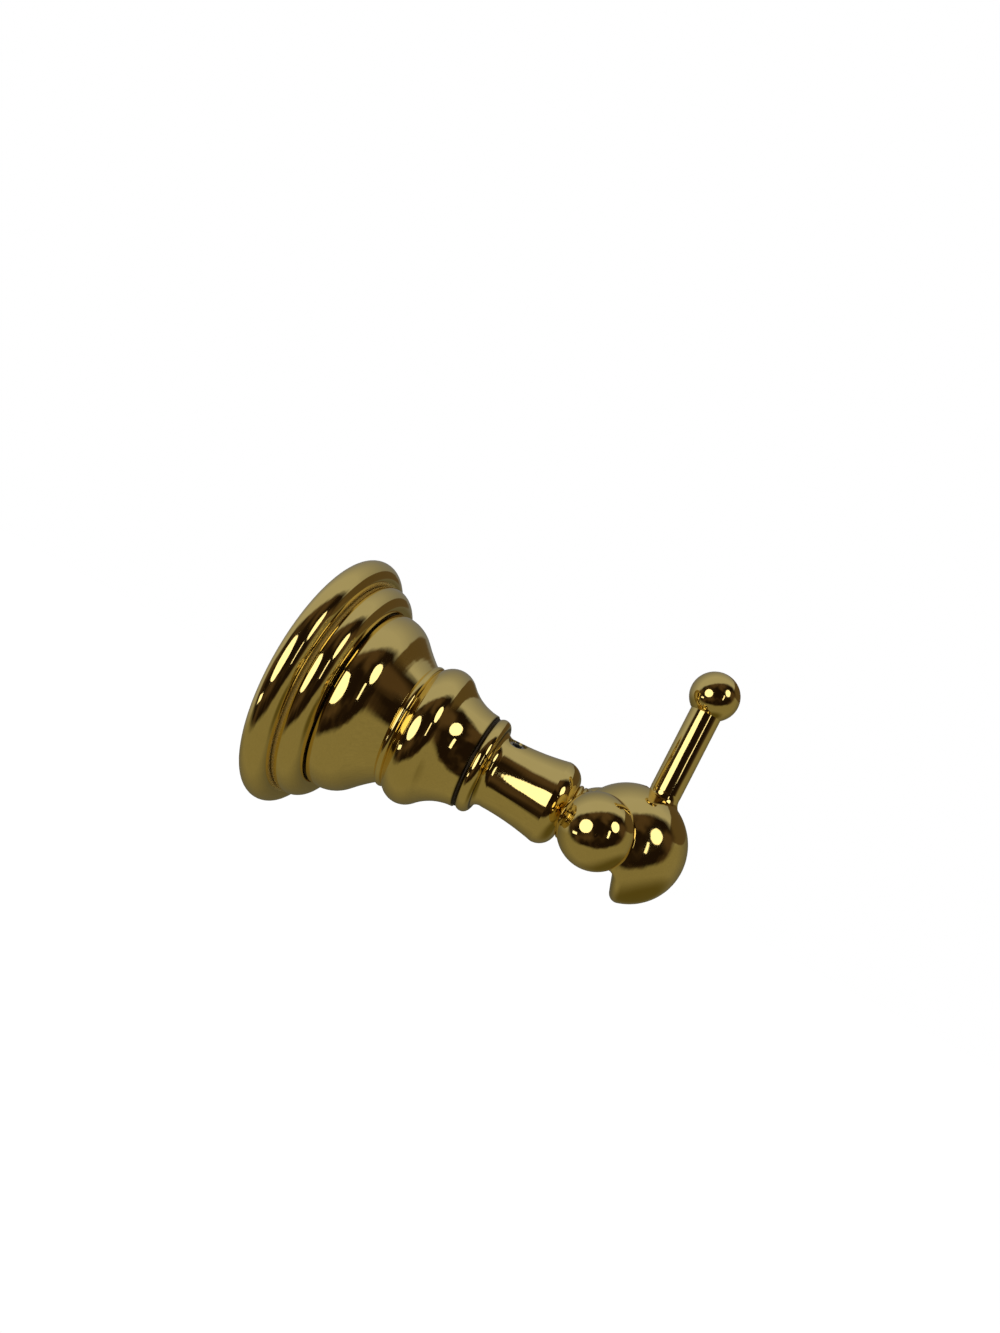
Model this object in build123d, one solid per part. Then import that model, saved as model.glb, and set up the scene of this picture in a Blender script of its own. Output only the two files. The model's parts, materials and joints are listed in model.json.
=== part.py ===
from build123d import *
import math
import os

# A wall robe hook in polished brass.
# The origin is the centre of the rosette's back, on the wall. The post runs out along -Y and the pin
# stands up along +Z. All sizes are in millimetres, and "out" is a distance from the wall.

# Rosette: two round rings, two bells and a lip
ring_outer_radius = 27.8
ring_tube_radius = 2.9
ring_wrap_angle = 42.0
second_ring_radius = 24.0
second_ring_crest_length = 2.4
second_ring_length = 5.2
bell_groove_radius = 18.9
bell_groove_width = 0.85
bell_shoulder_radius = 19.7
bell_length = 11.6
waist_radius = 13.2
bell_shoulder_share = 0.33
bell_shoulder_fall = 0.05
bell_knee_share = 0.58
bell_knee_fall = 0.34
bead_width = 1.5
bead_height = 0.55
second_bell_radius = 15.15
second_bell_length = 14.5
second_bell_hip_share = 0.26
second_bell_knee_share = 0.48
second_bell_knee_fall = 0.26
lip_groove_radius = 9.8
lip_groove_width = 0.7
lip_radius = 10.3
lip_width = 2.6
lip_face_margin = 0.6
rosette_wall = 2.4
rosette_rim = 1.6
rosette_floor = 5.0

# Wall plate and spigot
plate_radius = 18.0
plate_thickness = 3.0
screw_hole_radius = 2.4
screw_hole_spacing = 26.0
spigot_radius = 4.0
spigot_flange_radius = 7.0
spigot_flange_thickness = 2.0
rivet_radius = 3.0
spigot_engagement = 11.0
spigot_clearance = 0.2

# Post
post_root_radius = 7.55
post_foot_radius = 8.6
post_foot_length = 2.0
post_end_radius = 8.85
post_length = 17.8
post_end_round = 3.8
socket_clearance = 0.05
cove_depth_share = 0.3

# Set screw
set_screw_radius = 2.0
set_screw_out = 3.0
set_screw_key = 2.0
set_screw_key_depth = 1.6
set_screw_recess = 0.5
set_screw_clocking = 16.0

# Hook body
ball_radius = 11.85
neck_radius = 5.8
neck_length = 2.9
neck_ring_count = 3
neck_ring_depth = 0.5
tenon_radius = 3.0
tenon_length = 5.5
side_ball_radius = 7.45
side_ball_reach = 11.45
side_ball_setback = 6.5
lip_edge_round = 1.8
undercut_drop = 5.5
undercut_lean = 16.0
undercut_lead = 0.1
undercut_corner_round = 1.5
knob_join_tolerance = 0.001

# Pin
pin_radius = 3.15
pin_foot_radius = 3.7
pin_foot_height = 2.2
pin_ball_radius = 5.0
pin_ball_height = 33.7
pin_offset = 2.2
pin_tenon_radius = 2.0
pin_tenon_length = 6.0

# Places along the post, worked out from the sizes above
ring_middle_radius = ring_outer_radius - ring_tube_radius
ring_wrap = math.radians(ring_wrap_angle)
crease_out = ring_tube_radius * (1 + math.cos(ring_wrap))
crease_radius = ring_middle_radius - ring_tube_radius * math.sin(ring_wrap)
bell_groove_out = crease_out + second_ring_length
bell_out = bell_groove_out + bell_groove_width
waist_out = bell_out + bell_length
second_bell_out = waist_out + bead_width
lip_groove_out = second_bell_out + second_bell_length
lip_out = lip_groove_out + lip_groove_width
rosette_out = lip_out + lip_width
post_end_out = rosette_out + post_length
ball_out = post_end_out + neck_length + math.sqrt(ball_radius**2 - neck_radius**2)
spigot_end_out = rosette_out + spigot_engagement
set_screw_place = rosette_out + set_screw_out
pin_out = ball_out + pin_offset
pin_seat_height = math.sqrt(ball_radius**2 - (pin_offset + pin_foot_radius) ** 2)

# Turned profiles are drawn with x as the distance from the wall and y as the radius
OUTWARD = Plane(origin=(0, 0, 0), x_dir=(0, -1, 0), z_dir=(-1, 0, 0)).location
FROM_BASE = (Align.CENTER, Align.CENTER, Align.MIN)


def turned(*edges):
    """A solid of revolution about the post's axis from a closed profile of edges."""
    return OUTWARD * revolve(make_face(Curve() + list(edges)), Axis.X, 360)


def chain(*points):
    """Straight profile edges through the points."""
    return Polyline(*points).edges()


def rod(radius, start, end):
    """A plain cylinder on the post's axis, from one distance from the wall to another."""
    return OUTWARD * Pos((start + end) / 2, 0, 0) * Rot(0, 90, 0) * Cylinder(radius, end - start)


def make_rosette():
    # The first ring lies on the wall and rolls in to a crease, where the second one starts
    ring_start = (0, ring_middle_radius)
    crease = (crease_out, crease_radius)
    ring = ThreePointArc(ring_start, (ring_tube_radius, ring_outer_radius), crease)
    second_crest = (crease_out + second_ring_crest_length, second_ring_radius)
    second = ThreePointArc(crease, second_crest, (bell_groove_out, bell_groove_radius))
    groove = chain(second @ 1, (bell_out, bell_groove_radius), (bell_out, bell_shoulder_radius))
    # The first bell falls from its shoulder round a knee and flares in to the waist
    fall = bell_shoulder_radius - waist_radius
    bell_top = (
        bell_out + bell_shoulder_share * bell_length,
        bell_shoulder_radius - bell_shoulder_fall * fall,
    )
    bell_knee = (
        bell_out + bell_knee_share * bell_length,
        bell_shoulder_radius - bell_knee_fall * fall,
    )
    shoulder = ThreePointArc((bell_out, bell_shoulder_radius), bell_top, bell_knee)
    flare = TangentArc(bell_knee, (waist_out, waist_radius), tangent=shoulder % 1)
    bead_mid = (waist_out + bead_width / 2, waist_radius + bead_height)
    bead = ThreePointArc((waist_out, waist_radius), bead_mid, (second_bell_out, waist_radius))
    # The second bell swells to its hip and sweeps down to the lip
    sweep = second_bell_radius - lip_groove_radius
    hip = (second_bell_out + second_bell_hip_share * second_bell_length, second_bell_radius)
    knee = (
        second_bell_out + second_bell_knee_share * second_bell_length,
        second_bell_radius - second_bell_knee_fall * sweep,
    )
    crown = ThreePointArc(bead @ 1, hip, knee)
    cove = TangentArc(knee, (lip_groove_out, lip_radius), tangent=crown % 1)
    lip_groove = chain(cove @ 1, (lip_groove_out, lip_groove_radius), (lip_out, lip_groove_radius))
    lip_mid = (lip_out + lip_width / 2, lip_radius)
    lip = ThreePointArc(lip_groove[-1] @ 1, lip_mid, (rosette_out, post_foot_radius + lip_face_margin))
    # Inside, a hollow over the wall plate and a floor with the spigot's hole
    bore = spigot_radius + spigot_clearance
    floor_out = rosette_out - rosette_floor
    inside = chain(
        lip @ 1,
        (rosette_out, bore),
        (floor_out, bore),
        (floor_out, lip_groove_radius - rosette_wall),
        (waist_out, waist_radius - rosette_wall),
        (bell_groove_out, bell_groove_radius - rosette_wall),
        (crease_out, crease_radius - rosette_wall),
        (0, crease_radius - rosette_rim),
        ring_start,
    )
    return turned(
        ring, second, *groove, shoulder, flare, bead, crown, cove, *lip_groove, lip, *inside
    )


def make_wall_plate():
    plate = rod(plate_radius, 0, plate_thickness) - rod(rivet_radius, 0, plate_thickness)
    hole = rod(screw_hole_radius, 0, plate_thickness)
    for side in (-1, 1):
        plate -= Pos(side * screw_hole_spacing / 2, 0, 0) * hole
    return plate


def make_spigot():
    flange_end = plate_thickness + spigot_flange_thickness
    spigot = rod(rivet_radius, 0, plate_thickness)
    spigot += rod(spigot_flange_radius, plate_thickness, flange_end)
    spigot += rod(spigot_radius, flange_end, spigot_end_out)
    return spigot


def set_screw_location():
    """Points the set screw's own +Z outwards through the post's wall, turned about the post's axis."""
    return Rot(0, -set_screw_clocking, 0) * Pos(0, -set_screw_place, 0)


def make_post():
    foot = (rosette_out + post_foot_length, post_root_radius)
    swell = (post_end_out - post_end_round, post_end_radius)
    tip_radius = post_end_radius - post_end_round
    foot_mid = (
        rosette_out + cove_depth_share * post_foot_length,
        post_root_radius + cove_depth_share * (post_foot_radius - post_root_radius),
    )
    cove = ThreePointArc((rosette_out, post_foot_radius), foot_mid, foot)
    side = TangentArc(foot, swell, tangent=(1, 0))
    round_off = post_end_round * (1 - math.cos(math.pi / 4))
    round_mid = (post_end_out - round_off, post_end_radius - round_off)
    end = ThreePointArc(swell, round_mid, (post_end_out, tip_radius))
    socket = spigot_radius + socket_clearance
    tenon_end = post_end_out - tenon_length - socket_clearance
    inside = chain(
        end @ 1,
        (post_end_out, tenon_radius + socket_clearance),
        (tenon_end, tenon_radius + socket_clearance),
        (tenon_end, 0),
        (spigot_end_out + socket_clearance, 0),
        (spigot_end_out + socket_clearance, socket),
        (rosette_out, socket),
        (rosette_out, post_foot_radius),
    )
    post = turned(cove, side, end, *inside)
    screw_hole = Cylinder(set_screw_radius + socket_clearance, 2 * post_end_radius, align=FROM_BASE)
    return post - set_screw_location() * screw_hole


def make_set_screw():
    top = post_root_radius - set_screw_recess
    length = top - spigot_radius
    screw = Pos(0, 0, spigot_radius) * Cylinder(set_screw_radius, length, align=FROM_BASE)
    key = extrude(RegularPolygon(set_screw_key / 2, 6, major_radius=False), set_screw_key_depth)
    screw -= Pos(0, 0, top - set_screw_key_depth) * key
    return set_screw_location() * screw


def make_hook_body():
    ball = Pos(0, -ball_out, 0) * Rot(90, 0, 0) * Sphere(ball_radius)
    # The lower back of the ball is cut away, which leaves a rounded lip under its front
    depth = 2 * ball_radius
    corner = ball_out - undercut_lead
    spread = depth * math.tan(math.radians(undercut_lean))
    outline = Polyline(
        (corner, -undercut_drop),
        (corner + spread, -undercut_drop - depth),
        (corner - depth, -undercut_drop - depth),
        (corner - depth, -undercut_drop),
        close=True,
    )
    wedge = make_face(outline)
    top_corner = wedge.vertices().sort_by_distance((corner, -undercut_drop))[0]
    wedge = fillet(top_corner, undercut_corner_round)
    ball -= OUTWARD * extrude(wedge, depth, both=True)
    cut_faces = ball.faces().filter_by(lambda face: face.geom_type != GeomType.SPHERE)
    round_face = ball.faces().filter_by(GeomType.SPHERE)[0]
    rim = [edge for edge in round_face.edges() if any(edge in face.edges() for face in cut_faces)]
    ball = fillet(rim, lip_edge_round)

    # The neck is a row of fine half-round rings on the tenon that enters the post
    pitch = neck_length / neck_ring_count
    root = neck_radius - neck_ring_depth
    rings = []
    for index in range(neck_ring_count):
        near = post_end_out + index * pitch
        rings.append(ThreePointArc((near, root), (near + pitch / 2, neck_radius), (near + pitch, root)))
    tenon_start = post_end_out - tenon_length
    stem = chain(
        rings[-1] @ 1,
        (ball_out, root),
        (ball_out, 0),
        (tenon_start, 0),
        (tenon_start, tenon_radius),
        (post_end_out, tenon_radius),
        (post_end_out, root),
    )
    body = ball + turned(*rings, *stem)
    for side in (-1, 1):
        place = Pos(side * side_ball_reach, side_ball_setback - ball_out, 0) * Rot(0, side * 90, 0)
        body = body.fuse(place * Sphere(side_ball_radius), tol=knob_join_tolerance)

    # The pin stands in a flat seat on top of the ball
    seat = Cylinder(pin_foot_radius + socket_clearance, ball_radius, align=FROM_BASE)
    bore_depth = pin_tenon_length + socket_clearance
    bore = Cylinder(pin_tenon_radius + socket_clearance, bore_depth + ball_radius, align=FROM_BASE)
    body -= Pos(0, -pin_out, pin_seat_height) * seat
    body -= Pos(0, -pin_out, pin_seat_height - bore_depth) * bore
    return body


def make_pin():
    foot_top = pin_seat_height + pin_foot_height
    ball_start = pin_ball_height - math.sqrt(pin_ball_radius**2 - pin_radius**2)
    tenon_start = pin_seat_height - pin_tenon_length
    flare = pin_foot_radius - pin_radius
    cove_mid = (
        pin_seat_height + cove_depth_share * pin_foot_height,
        pin_radius + cove_depth_share * flare,
    )
    cove = ThreePointArc((pin_seat_height, pin_foot_radius), cove_mid, (foot_top, pin_radius))
    shank = Line(cove @ 1, (ball_start, pin_radius))
    ball_side = (pin_ball_height, pin_ball_radius)
    knob = ThreePointArc(shank @ 1, ball_side, (pin_ball_height + pin_ball_radius, 0))
    below = chain(
        knob @ 1,
        (tenon_start, 0),
        (tenon_start, pin_tenon_radius),
        (pin_seat_height, pin_tenon_radius),
        cove @ 0,
    )
    profile = make_face(Curve() + [cove, shank, knob, *below])
    return Pos(0, -pin_out, 0) * Rot(0, -90, 0) * revolve(profile, Axis.X, 360)


if __name__ == "__main__":
    os.makedirs("parts", exist_ok=True)
    for name, make in (
        ("rosette", make_rosette),
        ("wall_plate", make_wall_plate),
        ("spigot", make_spigot),
        ("post", make_post),
        ("set_screw", make_set_screw),
        ("hook_body", make_hook_body),
        ("pin", make_pin),
    ):
        solid = make()
        export_step(solid, f"parts/{name}.step")
        print(name, round(solid.volume, 1))
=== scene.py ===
# %% [markdown]
# A wall robe hook in polished brass.
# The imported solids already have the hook's turned shapes, so this lesson is mostly about one hard thing:
# how a mirror-bright metal gets its look from what stands around it.

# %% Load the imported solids
import json
import math

import bpy
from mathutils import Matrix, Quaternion, Vector


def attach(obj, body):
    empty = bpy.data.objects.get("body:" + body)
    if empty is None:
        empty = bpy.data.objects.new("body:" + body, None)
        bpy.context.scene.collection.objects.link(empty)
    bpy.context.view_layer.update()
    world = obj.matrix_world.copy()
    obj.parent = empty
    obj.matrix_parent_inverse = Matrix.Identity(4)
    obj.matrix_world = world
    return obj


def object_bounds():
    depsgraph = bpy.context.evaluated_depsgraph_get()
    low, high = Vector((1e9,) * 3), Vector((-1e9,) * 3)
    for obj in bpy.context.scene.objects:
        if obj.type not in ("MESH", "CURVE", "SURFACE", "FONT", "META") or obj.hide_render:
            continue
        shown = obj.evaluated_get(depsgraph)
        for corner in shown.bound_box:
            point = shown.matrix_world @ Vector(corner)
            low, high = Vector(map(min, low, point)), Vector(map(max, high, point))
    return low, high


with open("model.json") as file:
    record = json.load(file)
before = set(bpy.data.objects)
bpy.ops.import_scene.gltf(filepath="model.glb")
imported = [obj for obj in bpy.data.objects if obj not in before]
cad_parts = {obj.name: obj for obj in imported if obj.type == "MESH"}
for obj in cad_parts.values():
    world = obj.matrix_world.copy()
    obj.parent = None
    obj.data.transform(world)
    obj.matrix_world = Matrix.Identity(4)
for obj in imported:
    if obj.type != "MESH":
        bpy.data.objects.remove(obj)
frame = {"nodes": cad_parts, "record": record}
cad_low, cad_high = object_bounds()
print("nodes:", sorted(frame["nodes"]))

# %% [markdown]
# The camera stands close to the hook's left side, a little in front of the wall, and leans over.
# A close camera makes the rosette look more open than the ball end, which a long lens would not show.
# Place, aim and lean were measured from the outline, so they are plain numbers here.

# %% Camera
MM = 0.001
image_width, image_height = 1000, 1333
camera_place = Vector((-182.7, -64.2, 14.2)) * MM
camera_aim = Vector((-2.4, -34.5, 19.4)) * MM
camera_lean = math.radians(27.54)
focal_pixels = 900.6

camera_data = bpy.data.cameras.new("camera")
camera_data.sensor_width = 36.0
camera_data.lens = focal_pixels / max(image_width, image_height) * camera_data.sensor_width
camera_data.clip_start = 0.005
camera = bpy.data.objects.new("camera", camera_data)
camera.location = camera_place
camera.rotation_mode = "QUATERNION"
facing = (camera_aim - camera_place).to_track_quat("-Z", "Y")
camera.rotation_quaternion = facing @ Quaternion((0, 0, 1), camera_lean)
bpy.context.scene.collection.objects.link(camera)
bpy.context.scene.camera = camera
print("lens in mm:", round(camera_data.lens, 2))

# %% [markdown]
# Colours are written as the hex values that a colour picker shows, and shaders want linear light.
# One function makes that change, a second adds a node with its settings and links, and a third starts
# an empty material.

# %% Colour and node helpers


def linear(hex_colour):
    """A linear RGBA colour from an sRGB hex value."""
    parts = [int(hex_colour[i : i + 2], 16) / 255 for i in (1, 3, 5)]
    return [c / 12.92 if c <= 0.04045 else ((c + 0.055) / 1.055) ** 2.4 for c in parts] + [1.0]


def add(tree, kind, inputs=(), **settings):
    """Adds a node. Inputs pair a socket's name or number with a value or with another node's output."""
    node = tree.nodes.new(kind)
    for name, value in settings.items():
        setattr(node, name, value)
    for socket, value in dict(inputs).items():
        if isinstance(value, bpy.types.NodeSocket):
            tree.links.new(value, node.inputs[socket])
        else:
            node.inputs[socket].default_value = value
    return node


def new_material(name):
    """An empty node material with its output node."""
    material = bpy.data.materials.new(name)
    material.use_nodes = True
    material.node_tree.nodes.clear()
    return material, material.node_tree, add(material.node_tree, "ShaderNodeOutputMaterial")


brass_tint = linear("#F3DA8B")
print("brass as linear light:", [round(c, 3) for c in brass_tint])

# %% [markdown]
# Polished brass is turned, buffed on a cloth wheel and lacquered.
# The eye reads it as a mirror with a warm tint: faint buffing lines run round the turned shapes, the
# surface is a little wavy and finger smears dull it in places. The creases and grooves are painted dull or
# brown as painted shade. Each of these is a few nodes, measured in millimetres on the hook.
# First come the creases and grooves. Each is a circle round the post's axis, so a point's distance from the
# wall and from the axis tell how near it is. The crease of the rings gets painted shade as a dull non-metal
# line, so no bare metal shows there, and the narrow grooves are painted dark as shade.

# %% Brass: painted shade in the creases and grooves
# Painted shade: each circle below gets a dull or dark colour where shade falls in a crease or groove.
painted_shade_mm = {  # distance from the wall, radius, reach and colour
    "crease between the two rings": (5.05, 22.96, 1.9, "#B3964A"),
    "groove behind the first bell": (10.7, 18.95, 0.6, "#3F3420"),
    "groove behind the lip": (39.1, 9.9, 0.9, "#3F3420"),
    "corner between lip and post": (42.0, 8.8, 0.6, "#5A4F38"),
}
# The inner share of the reach gets the full painted shade.
shade_core = 0.3  # share of the reach that is fully stained

brass, tree, brass_output = new_material("polished_lacquered_brass")
place = add(tree, "ShaderNodeTexCoord").outputs["Object"]
split = add(tree, "ShaderNodeSeparateXYZ", {0: place})
out_mm = add(tree, "ShaderNodeMath", {0: split.outputs["Y"], 1: -1 / MM}, operation="MULTIPLY").outputs[0]
from_axis = add(tree, "ShaderNodeVectorMath", {0: place, 1: (1, 0, 1)}, operation="MULTIPLY").outputs[0]
from_axis = add(tree, "ShaderNodeVectorMath", {0: from_axis}, operation="LENGTH").outputs["Value"]
radius_mm = add(tree, "ShaderNodeMath", {0: from_axis, 1: 1 / MM}, operation="MULTIPLY").outputs[0]
profile = add(tree, "ShaderNodeCombineXYZ", {0: out_mm, 1: radius_mm}).outputs[0]
bands = {}
for name, (out, radius, reach, _) in painted_shade_mm.items():
    away = add(
        tree, "ShaderNodeVectorMath", {0: profile, 1: (out, radius, 0)}, operation="DISTANCE"
    ).outputs["Value"]
    bands[name] = add(
        tree,
        "ShaderNodeMapRange",
        {"Value": away, "From Min": shade_core * reach, "From Max": reach, "To Min": 1.0, "To Max": 0.0},
        interpolation_type="SMOOTHSTEP",
    ).outputs[0]
# One mask of painted shade for all the creases and grooves.
painted_groove_shade = 0.0
for band in bands.values():
    painted_groove_shade = add(tree, "ShaderNodeMath", {0: painted_groove_shade, 1: band}, operation="MAXIMUM").outputs[0]
print("stained creases and grooves:", len(bands))

# %% [markdown]
# The tint of the metal changes a little with the smears, and the smears also set how sharp its mirror is.
# Buffing lines on real brass are finer than 0.1 mm and would not show, so they are drawn at 0.7 mm and
# kept very shallow. At a scale of 1 a wave texture repeats every tau / 20 units, which gives its scale here.

# %% Brass: colour, polish and bump
smeared_tint = linear("#EAD080")
smear_mm = 9.0
wave_mm = 6.0
wave_height_mm = 0.6
buffing_line_mm = 0.7
buffing_depth_mm = 0.05
clean_roughness, smeared_roughness = 0.04, 0.09
groove_roughness = 0.25  # added to these

smear = add(
    tree,
    "ShaderNodeTexNoise",
    {"Vector": place, "Scale": 1 / (smear_mm * MM), "Detail": 4.0, "Roughness": 0.6},
).outputs[0]
colour = add(
    tree, "ShaderNodeMix", {0: smear, 6: brass_tint, 7: smeared_tint}, data_type="RGBA"
).outputs[2]
# The painted shade colours go into the creases and grooves.
for name, (*_, shade_tone) in painted_shade_mm.items():
    colour = add(
        tree, "ShaderNodeMix", {0: bands[name], 6: colour, 7: linear(shade_tone)}, data_type="RGBA"
    ).outputs[2]
# The crease of the rings is painted as dull non-metal shade.
bare = add(
    tree, "ShaderNodeMath", {0: 1.0, 1: bands["crease between the two rings"]}, operation="SUBTRACT"
).outputs[0]
polish = add(
    tree,
    "ShaderNodeMapRange",
    {
        "Value": smear,
        "From Min": 0.3,
        "From Max": 0.75,
        "To Min": clean_roughness,
        "To Max": smeared_roughness,
    },
).outputs[0]
roughness = add(
    tree, "ShaderNodeMath", {0: painted_groove_shade, 1: groove_roughness, 2: polish}, operation="MULTIPLY_ADD"
).outputs[0]
waves = add(
    tree, "ShaderNodeTexNoise", {"Vector": place, "Scale": 1 / (wave_mm * MM), "Detail": 1.0}
).outputs[0]
lines = add(
    tree,
    "ShaderNodeTexWave",
    {"Vector": place, "Scale": math.tau / 20 / (buffing_line_mm * MM), "Distortion": 1.5, "Detail": 2.0},
    bands_direction="Y",
).outputs[1]
wavy = add(
    tree, "ShaderNodeBump", {"Height": waves, "Strength": 0.12, "Distance": wave_height_mm * MM}
).outputs[0]
buffed = add(
    tree,
    "ShaderNodeBump",
    {"Height": lines, "Strength": 0.02, "Distance": buffing_depth_mm * MM, "Normal": wavy},
).outputs[0]
metal = add(
    tree,
    "ShaderNodeBsdfPrincipled",
    {"Base Color": colour, "Metallic": bare, "Roughness": roughness, "Normal": buffed},
)
tree.links.new(metal.outputs[0], brass_output.inputs["Surface"])
print("brass nodes:", len(tree.nodes))

# %% [markdown]
# The wall plate and the set screw are plated steel: grey and satin, with the long fine marks of rolling.
# One noise, stretched along X, gives the marks, and it turns the colour and the roughness a little.

# %% Zinc-plated steel
rolling_mark_mm = 0.5
rolling_stretch = 0.15
rolling_depth_mm = 0.1
steel_roughness = 0.28, 0.42

steel, tree, steel_output = new_material("zinc_plated_steel")
place = add(tree, "ShaderNodeTexCoord").outputs["Object"]
stretched = add(
    tree, "ShaderNodeMapping", {"Vector": place, "Scale": (rolling_stretch, 1.0, 1.0)}
).outputs[0]
marks = add(
    tree, "ShaderNodeTexNoise", {"Vector": stretched, "Scale": 1 / (rolling_mark_mm * MM), "Detail": 3.0}
).outputs[0]
tone = add(
    tree, "ShaderNodeMix", {0: marks, 6: linear("#B9B8B2"), 7: linear("#A3A19A")}, data_type="RGBA"
).outputs[2]
satin = add(
    tree,
    "ShaderNodeMapRange",
    {
        "Value": marks,
        "From Min": 0.3,
        "From Max": 0.7,
        "To Min": steel_roughness[0],
        "To Max": steel_roughness[1],
    },
).outputs[0]
scored = add(
    tree, "ShaderNodeBump", {"Height": marks, "Strength": 0.08, "Distance": rolling_depth_mm * MM}
).outputs[0]
metal = add(
    tree,
    "ShaderNodeBsdfPrincipled",
    {"Base Color": tone, "Metallic": 1.0, "Roughness": satin, "Normal": scored},
)
tree.links.new(metal.outputs[0], steel_output.inputs["Surface"])
print("steel nodes:", len(tree.nodes))

# %% [markdown]
# Each solid takes the finish that its record names. The solids keep their shapes and places.

# %% Dress the solids
finishes = {"polished_brass": brass, "zinc_plated_steel": steel}
for part in frame["record"]["subparts"]:
    solid = frame["nodes"][part["node"]]
    solid.data.materials.clear()
    solid.data.materials.append(finishes[part["material_slot"]])
    print(part["node"], "gets", solid.data.materials[0].name)

# %% [markdown]
# A row of dark crumbs in the two narrow grooves of the rosette is painted shade: it darkens the grooves.
# The crumbs are matt and brown, with a slight grain. The grain is finer than a pixel here, so it is drawn at
# 0.3 mm.

# %% Dark crumbs of painted shade
crumb_grain_mm = 0.3
crumb_roughness = 0.65, 0.9

# Matt brown paint for the crumbs, which stand in for the shade in the grooves.
shade_crumb_paint, tree, shade_crumb_output = new_material("painted_shade_crumbs")
place = add(tree, "ShaderNodeTexCoord").outputs["Object"]
grain = add(
    tree, "ShaderNodeTexNoise", {"Vector": place, "Scale": 1 / (crumb_grain_mm * MM), "Detail": 2.0}
).outputs[0]
brown = add(
    tree, "ShaderNodeMix", {0: grain, 6: linear("#1E150A"), 7: linear("#3A2A14")}, data_type="RGBA"
).outputs[2]
dull = add(
    tree,
    "ShaderNodeMapRange",
    {"Value": grain, "To Min": crumb_roughness[0], "To Max": crumb_roughness[1]},
).outputs[0]
matt = add(tree, "ShaderNodeBsdfPrincipled", {"Base Color": brown, "Roughness": dull})
tree.links.new(matt.outputs[0], shade_crumb_output.inputs["Surface"])
print("compound nodes:", len(tree.nodes))

# %% [markdown]
# The crumbs could be modelled one by one, but they follow a rule: long dabs along a circle, of uneven
# thickness. Geometry Nodes state that rule once. Each groove is a circle of edges, which becomes a curve,
# then evenly spaced points, and a stretched ball lies along the curve at each point.

# %% Crumb rule
thin_share, thick_share = 0.3, 0.5  # of the thickness, for each crumb's radius

crumb_rule = bpy.data.node_groups.new("crumbs_along_groove", "GeometryNodeTree")
crumb_rule.is_modifier = True
interface = crumb_rule.interface
interface.new_socket("Geometry", in_out="INPUT", socket_type="NodeSocketGeometry")
crumb_inputs = {
    "Spacing": ("NodeSocketFloat", 0.9 * MM),
    "Crumb Length": ("NodeSocketFloat", 1.8 * MM),
    "Crumb Thickness": ("NodeSocketFloat", 0.4 * MM),
    "Seed": ("NodeSocketInt", 7),
}
identifiers = {
    name: interface.new_socket(name, in_out="INPUT", socket_type=kind).identifier
    for name, (kind, _) in crumb_inputs.items()
}
interface.new_socket("Geometry", in_out="OUTPUT", socket_type="NodeSocketGeometry")

given = add(crumb_rule, "NodeGroupInput").outputs
path = add(crumb_rule, "GeometryNodeMeshToCurve", {"Mesh": given["Geometry"]}).outputs[0]
spots = add(
    crumb_rule, "GeometryNodeCurveToPoints", {"Curve": path, "Length": given["Spacing"]}, mode="LENGTH"
).outputs
uneven = add(
    crumb_rule,
    "FunctionNodeRandomValue",
    {2: thin_share, 3: thick_share, "Seed": given["Seed"]},
    data_type="FLOAT",
).outputs[1]
thick = add(
    crumb_rule, "ShaderNodeMath", {0: given["Crumb Thickness"], 1: uneven}, operation="MULTIPLY"
).outputs[0]
long = add(
    crumb_rule, "ShaderNodeMath", {0: given["Crumb Length"], 1: 0.5}, operation="MULTIPLY"
).outputs[0]
stretch = add(crumb_rule, "ShaderNodeCombineXYZ", {0: thick, 1: thick, 2: long}).outputs[0]
ball = add(crumb_rule, "GeometryNodeMeshIcoSphere", {"Radius": 1.0, "Subdivisions": 2}).outputs[0]
ball = add(crumb_rule, "GeometryNodeSetShadeSmooth", {"Geometry": ball}).outputs[0]
crumbs = add(
    crumb_rule,
    "GeometryNodeInstanceOnPoints",
    {"Points": spots["Points"], "Instance": ball, "Rotation": spots["Rotation"], "Scale": stretch},
).outputs[0]
crumbs = add(crumb_rule, "GeometryNodeRealizeInstances", {"Geometry": crumbs}).outputs[0]
crumbs = add(crumb_rule, "GeometryNodeSetMaterial", {"Geometry": crumbs, "Material": shade_crumb_paint}).outputs[0]
add(crumb_rule, "NodeGroupOutput", {0: crumbs})
print("crumb rule inputs:", sorted(crumb_inputs))

# %% [markdown]
# The rule is laid on the two groove circles and turned into one plain mesh, which rides on the hook.

# %% Lay the crumbs in the grooves
groove_circles_mm = [(10.9, 18.95), (39.1, 9.8)]  # distance from the wall, radius of the groove's floor
circle_steps = 96

points, edges = [], []
for out, radius in groove_circles_mm:
    first = len(points)
    for step in range(circle_steps):
        angle = math.tau * step / circle_steps
        points.append(Vector((radius * math.cos(angle), -out, radius * math.sin(angle))) * MM)
        edges.append((first + step, first + (step + 1) % circle_steps))
circle_mesh = bpy.data.meshes.new("groove_circles")
circle_mesh.from_pydata(points, edges, [])
circles = bpy.data.objects.new("groove_circles", circle_mesh)
bpy.context.scene.collection.objects.link(circles)
rule = circles.modifiers.new("crumbs", "NODES")
rule.node_group = crumb_rule
for name, (_, value) in crumb_inputs.items():
    rule[identifiers[name]] = value
laid = circles.evaluated_get(bpy.context.evaluated_depsgraph_get())
crumb_mesh = bpy.data.meshes.new_from_object(laid)
bpy.data.objects.remove(circles)
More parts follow.
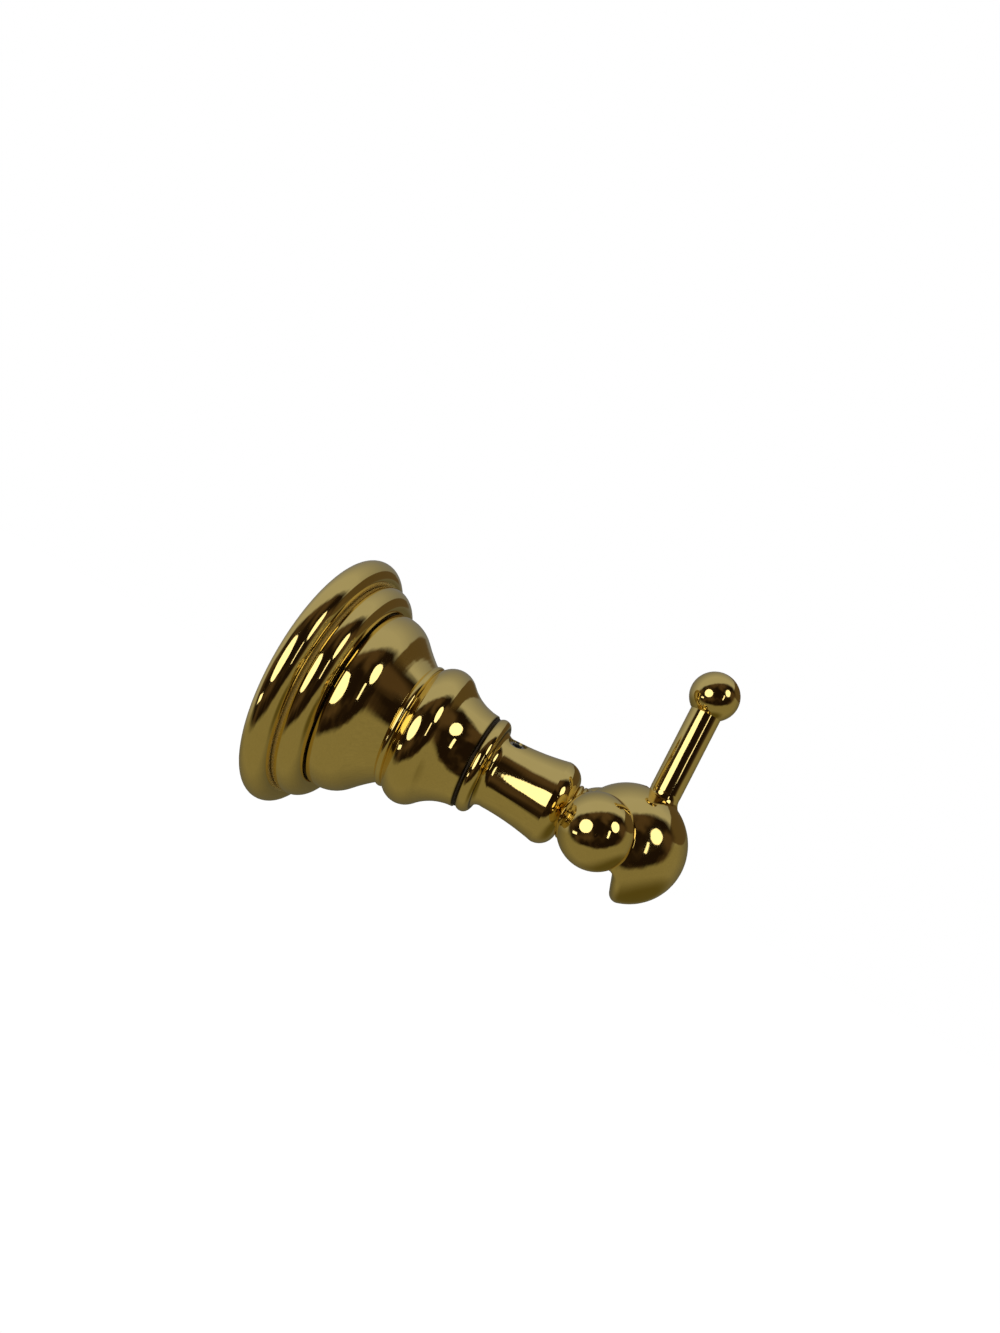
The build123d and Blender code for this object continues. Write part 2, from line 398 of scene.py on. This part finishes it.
# The crumbs of painted shade ride on the hook as one mesh.
groove_shade_crumbs = bpy.data.objects.new("groove_shade_crumbs", crumb_mesh)
bpy.context.scene.collection.objects.link(groove_shade_crumbs)
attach(groove_shade_crumbs, "root")
widest = max(Vector((v.co.x, v.co.z)).length for v in crumb_mesh.vertices)
print("crumb faces:", len(crumb_mesh.polygons), "widest radius in mm:", round(widest / MM, 2))

# %% [markdown]
# The floor is plain and pale. It glows a little for rays that the camera, a mirror or glass sends, which
# brings it up to white, and the lit part below the glow still takes the hook's shadow.
# A wall hook hangs well above the floor, so the floor lies far under it.

# %% Floor
floor_drop = 0.6
floor_half = 6.0
floor_lift = 0.55


def seen_rays(tree):
    """1 for rays from the camera, a mirror or glass, and 0 for the rest."""
    ray = add(tree, "ShaderNodeLightPath").outputs
    seen = ray["Is Camera Ray"]
    for kind in ("Is Glossy Ray", "Is Transmission Ray"):
        seen = add(tree, "ShaderNodeMath", {0: seen, 1: ray[kind]}, operation="MAXIMUM").outputs[0]
    return seen


floor_paint, tree, floor_output = new_material("pale_floor_paint")
matt = add(tree, "ShaderNodeBsdfDiffuse", {"Color": linear("#E6E6E4")}).outputs[0]
lift = add(tree, "ShaderNodeMath", {0: seen_rays(tree), 1: floor_lift}, operation="MULTIPLY").outputs[0]
glow = add(tree, "ShaderNodeEmission", {"Strength": lift}).outputs[0]
both = add(tree, "ShaderNodeAddShader", {0: matt, 1: glow}).outputs[0]
tree.links.new(both, floor_output.inputs["Surface"])

corners = [(-1, -1), (1, -1), (1, 1), (-1, 1)]
floor_height = cad_low.z - floor_drop
floor_mesh = bpy.data.meshes.new("floor")
floor_points = [(x * floor_half, y * floor_half, floor_height) for x, y in corners]
floor_mesh.from_pydata(floor_points, [], [(0, 1, 2, 3)])
floor_mesh.materials.append(floor_paint)
floor = bpy.data.objects.new("floor", floor_mesh)
bpy.context.scene.collection.objects.link(floor)
print("floor is", floor_drop, "m under the hook")

# %% [markdown]
# The world is white for what the camera sees and for what mirrors and glass show of it.
# For the light that falls on matt things it is a soft, even grey.

# %% World
soft_level, white_level = 0.6, 1.0

world = bpy.data.worlds.new("white_studio")
world.use_nodes = True
bpy.context.scene.world = world
tree = world.node_tree
tree.nodes.clear()
level = add(
    tree, "ShaderNodeMapRange", {"Value": seen_rays(tree), "To Min": soft_level, "To Max": white_level}
).outputs[0]
sky = add(tree, "ShaderNodeBackground", {"Color": (1, 1, 1, 1), "Strength": level})
add(tree, "ShaderNodeOutputWorld", {"Surface": sky.outputs[0]})
bpy.context.scene.view_settings.view_transform = "Standard"
print("world nodes:", len(tree.nodes))

# %% [markdown]
# A mirror in a white room is white, and has no shape, so grey and dark cards are hung round polished metal.
# Here a round tent carries their tones: pale above, olive below and dark behind the camera. Its directions
# are those that the near knob mirrors, because a ball shows nearly all of what is round it, so the tent is
# centred there. It is turned as the camera is, once, when it is put up.

# %% Directions in the card tent
tent_radius = 0.55
ragged_share = 0.2  # how far the noise moves a card's edge, as a share of its reach
knob_centre = Vector((-11.45, -66.5, 0.0)) * MM

tent_cards, tree, tent_output = new_material("studio_cards")
place = add(tree, "ShaderNodeTexCoord").outputs["Object"]
way = add(tree, "ShaderNodeVectorMath", {0: place}, operation="NORMALIZE").outputs[0]
toward = add(tree, "ShaderNodeSeparateXYZ", {0: way}).outputs  # right, up, and back to the camera
turn = add(tree, "ShaderNodeMath", {0: toward["X"], 1: toward["Z"]}, operation="ARCTAN2").outputs[0]
turn = add(tree, "ShaderNodeMath", {0: turn}, operation="DEGREES").outputs[0]
rise = add(tree, "ShaderNodeMath", {0: toward["Y"]}, operation="ARCSINE").outputs[0]
rise = add(tree, "ShaderNodeMath", {0: rise}, operation="DEGREES").outputs[0]
ragged = add(tree, "ShaderNodeTexNoise", {"Vector": way, "Scale": 3.0, "Detail": 3.0}).outputs[0]


def oval_card(middle, reach, edge):
    """1 inside an oval card given by turn and rise in degrees, 0 outside, and ragged along its edge."""
    shares = []
    for angle, centre, half in zip((turn, rise), middle, reach):
        away = add(tree, "ShaderNodeMath", {0: angle, 1: centre}, operation="SUBTRACT").outputs[0]
        shares.append(add(tree, "ShaderNodeMath", {0: away, 1: half}, operation="DIVIDE").outputs[0])
    flat = add(tree, "ShaderNodeCombineXYZ", {0: shares[0], 1: shares[1]}).outputs[0]
    spread = add(tree, "ShaderNodeVectorMath", {0: flat}, operation="LENGTH").outputs["Value"]
    rough_edge = add(
        tree, "ShaderNodeMath", {0: ragged, 1: ragged_share, 2: spread}, operation="MULTIPLY_ADD"
    ).outputs[0]
    limit = 1 + ragged_share / 2
    return add(
        tree,
        "ShaderNodeMapRange",
        {"Value": rough_edge, "From Min": limit - edge, "From Max": limit + edge, "To Min": 1, "To Max": 0},
        interpolation_type="SMOOTHSTEP",
    ).outputs[0]


print("tent radius in m:", tent_radius)

# %% [markdown]
# A pale card hangs above and an olive one with a slight grain below. Both fall off towards the far side,
# behind the hook, which its edges mirror. Over them lie a brown card at the right and a dark one behind the
# camera, with broad brown patches, because an evenly dark card makes the mirror look like black paint.

# %% Tones of the card tent
above_tone, below_tone = linear("#AEAEAE"), linear("#868065")
brown_tone = linear("#594B35")
gloom_tones = linear("#1D1410"), linear("#4E3E2F")
olive_up_to, pale_from = -0.15, 0.25  # heights on a ball of radius 1, and the cards blend between them
far_side_level = 0.45

grain = add(tree, "ShaderNodeTexNoise", {"Vector": way, "Scale": 45.0, "Detail": 2.0}).outputs[0]
grain = add(tree, "ShaderNodeMapRange", {"Value": grain, "To Min": 0.75, "To Max": 1.25}).outputs[0]
olive = add(tree, "ShaderNodeVectorMath", {0: below_tone[:3], "Scale": grain}, operation="SCALE").outputs[0]
height = add(
    tree,
    "ShaderNodeMapRange",
    {"Value": toward["Y"], "From Min": olive_up_to, "From Max": pale_from},
    interpolation_type="SMOOTHSTEP",
).outputs[0]
pale = add(tree, "ShaderNodeMix", {0: height, 6: olive, 7: above_tone}, data_type="RGBA").outputs[2]
falloff = add(
    tree,
    "ShaderNodeMapRange",
    {"Value": toward["Z"], "From Min": -0.2, "From Max": -0.95, "To Min": 1.0, "To Max": far_side_level},
).outputs[0]
pale = add(tree, "ShaderNodeVectorMath", {0: pale, "Scale": falloff}, operation="SCALE").outputs[0]
clutter = add(
    tree, "ShaderNodeTexNoise", {"Vector": way, "Scale": 1.8, "Detail": 2.0, "Roughness": 0.4}
).outputs[0]
clutter = add(
    tree,
    "ShaderNodeMapRange",
    {"Value": clutter, "From Min": 0.42, "From Max": 0.7},
    interpolation_type="SMOOTHSTEP",
).outputs[0]
gloom = add(
    tree, "ShaderNodeMix", {0: clutter, 6: gloom_tones[0], 7: gloom_tones[1]}, data_type="RGBA"
).outputs[2]
side_card = oval_card(middle=(124, 8.5), reach=(42, 15.5), edge=0.05)
tone = add(tree, "ShaderNodeMix", {0: side_card, 6: pale, 7: brown_tone}, data_type="RGBA").outputs[2]
camera_card = oval_card(middle=(0, 14), reach=(94, 52), edge=0.09)
tone = add(tree, "ShaderNodeMix", {0: camera_card, 6: tone, 7: gloom}, data_type="RGBA").outputs[2]
glow = add(tree, "ShaderNodeEmission", {"Color": tone}).outputs[0]
tree.links.new(glow, tent_output.inputs["Surface"])
tent_cards.cycles.emission_sampling = "NONE"
print("tent nodes:", len(tree.nodes))

# %% [markdown]
# Only mirrors see the tent, so it neither lights the floor nor hides the hook.
# A small dark card with a soft edge also lies under the hook's end, because the ball is darker below than
# the knob beside it.

# %% Put up the tent and the low card
low_card_radius = 45 * MM
low_card_core = 0.3  # share of the radius inside the soft edge
low_card_tone = linear("#574F29")
low_card_place = Vector((12, -42, -8)) * MM  # right, up and towards the camera from the ball's centre
ball_centre = Vector((0.0, -73.0, 0.0)) * MM


def show_in_mirrors_only(thing, name, paint, turned):
    """Names, turns and paints a stage thing, and hides it from everything but reflections."""
    thing.name = name
    thing.rotation_mode = "QUATERNION"
    thing.rotation_quaternion = turned
    thing.data.materials.append(paint)
    thing.visible_camera = False
    thing.visible_diffuse = False
    thing.visible_transmission = False
    thing.visible_shadow = False


bpy.ops.mesh.primitive_uv_sphere_add(
    segments=64, ring_count=32, radius=tent_radius, location=knob_centre
)
show_in_mirrors_only(bpy.context.object, "card_tent", tent_cards, camera.rotation_quaternion)

dark_paint, tree, dark_output = new_material("dark_card")
place = add(tree, "ShaderNodeTexCoord").outputs["Object"]
far = add(tree, "ShaderNodeVectorMath", {0: place}, operation="LENGTH").outputs["Value"]
cover = add(
    tree,
    "ShaderNodeMapRange",
    {
        "Value": far,
        "From Min": low_card_core * low_card_radius,
        "From Max": low_card_radius,
        "To Min": 1.0,
        "To Max": 0.0,
    },
    interpolation_type="SMOOTHSTEP",
).outputs[0]
glow = add(tree, "ShaderNodeEmission", {"Color": low_card_tone}).outputs[0]
clear = add(tree, "ShaderNodeBsdfTransparent").outputs[0]
soft = add(tree, "ShaderNodeMixShader", {0: cover, 1: clear, 2: glow}).outputs[0]
tree.links.new(soft, dark_output.inputs["Surface"])
dark_paint.cycles.emission_sampling = "NONE"
low_place = ball_centre + camera.rotation_quaternion @ low_card_place
bpy.ops.mesh.primitive_circle_add(
    vertices=48, radius=low_card_radius, fill_type="NGON", location=low_place
)
lying = camera.rotation_quaternion @ Quaternion((1, 0, 0), math.radians(90))
show_in_mirrors_only(bpy.context.object, "low_card", dark_paint, lying)
print("low card at mm:", [round(c / MM, 1) for c in low_place])

# %% [markdown]
# Four soft lamps stand in the dark part of the room. A big round one close by and a smaller one further off
# make the round lights on every ball and the long streak on the post; two strips make the thin lights.
# Each is hung by its angles as the near knob sees it, with its width and height as angles too.

# %% Lamps
lamp_level = 1.7


def hang_lamp(name, distance, turn_deg, rise_deg, width_deg, height_deg, shape):
    """Hangs a soft lamp at an angle right of and above the line from the knob to the camera."""
    right, up = math.radians(turn_deg), math.radians(rise_deg)
    to_lamp = Vector((math.sin(right) * math.cos(up), math.sin(up), math.cos(right) * math.cos(up)))
    to_lamp = camera.rotation_quaternion @ to_lamp
    data = bpy.data.lights.new(name, "AREA")
    data.shape = shape
    data.size = 2 * distance * math.tan(math.radians(width_deg / 2))
    data.size_y = 2 * distance * math.tan(math.radians(height_deg / 2))
    area = data.size * data.size_y * (math.pi / 4 if shape == "ELLIPSE" else 1)
    data.energy = lamp_level * math.pi * area
    lamp = bpy.data.objects.new(name, data)
    lamp.location = knob_centre + to_lamp * distance
    lamp.rotation_mode = "QUATERNION"
    lamp.rotation_quaternion = to_lamp.to_track_quat("Z", "Y")
    lamp.visible_camera = False
    bpy.context.scene.collection.objects.link(lamp)
    return data.energy


lamps = {  # distance in m, then turn, rise, width and height in degrees, and shape
    "round_lamp": (0.25, -37, 23, 38, 36, "ELLIPSE"),
    "side_lamp": (0.45, 53, 16, 24, 26, "ELLIPSE"),
    "front_strip": (0.45, 30, 0, 5, 20, "RECTANGLE"),
    "low_strip": (0.45, -68, 1, 14, 6, "RECTANGLE"),
}
watts = [hang_lamp(name, *lamp) for name, lamp in lamps.items()]
print("lamps in W:", [round(w, 3) for w in watts])
